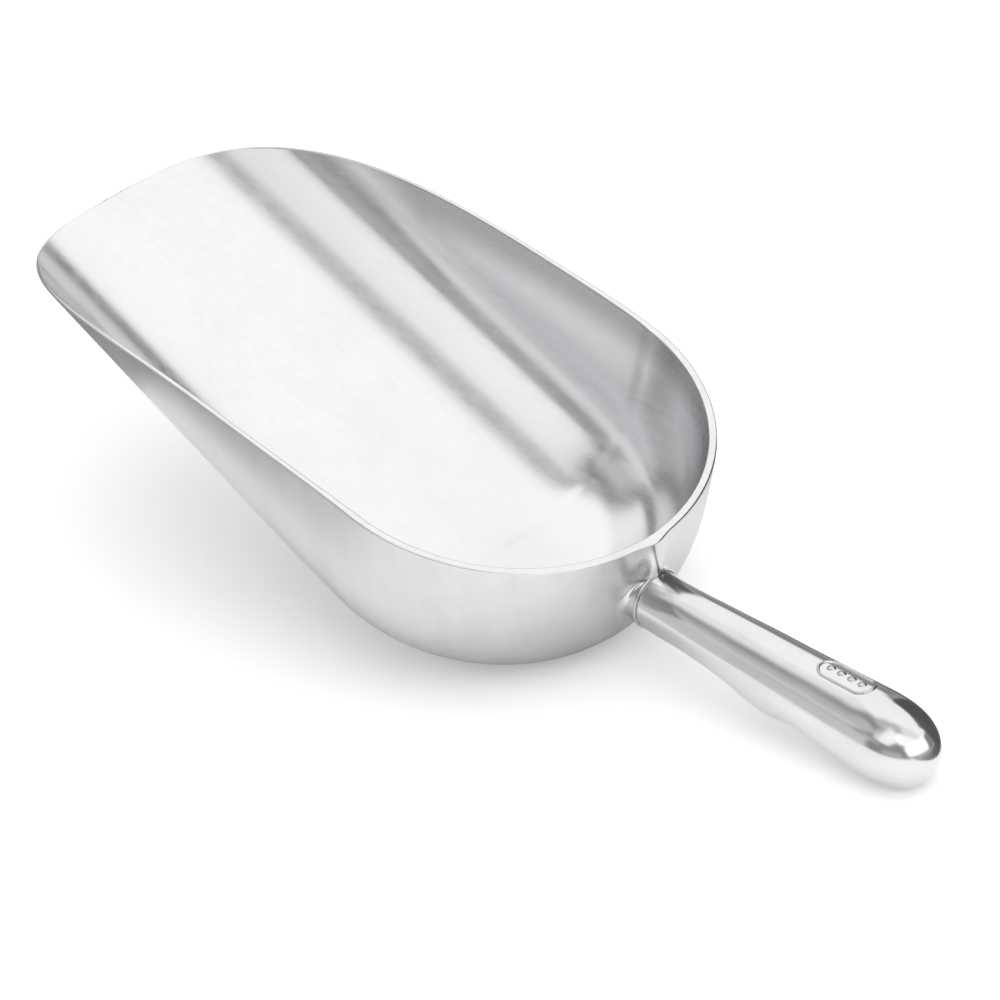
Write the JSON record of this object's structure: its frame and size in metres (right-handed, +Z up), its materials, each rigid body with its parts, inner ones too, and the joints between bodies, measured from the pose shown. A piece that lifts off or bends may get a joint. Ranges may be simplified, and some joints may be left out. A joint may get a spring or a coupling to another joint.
{
  "type": "ice scoop",
  "caption": "Cast aluminium ice scoop: open trough with a rounded heel and a raised convex lip, on a solid contoured grip joined to a boss on the heel.",
  "frame": {"origin": "on the floor below the middle of the scoop's overall length, in its mirror plane, as the scoop rests on its belly and grip", "axes": "+X along the grip towards its tip, -X towards the lip; +Y across; +Z up from the surface the scoop rests on"},
  "size_m": [0.312, 0.117, 0.0831],
  "materials": {
    "cast_aluminium": "cast and polished, satin outside and brighter inside",
    "polished_aluminium": "cast, bright polished",
    "filler_metal": "as brazed, lightly polished"
  },
  "bodies": {
    "root": {"bowl": "cast_aluminium", "handle": "polished_aluminium", "seam_bead": "filler_metal"}
  },
  "joints": []
}
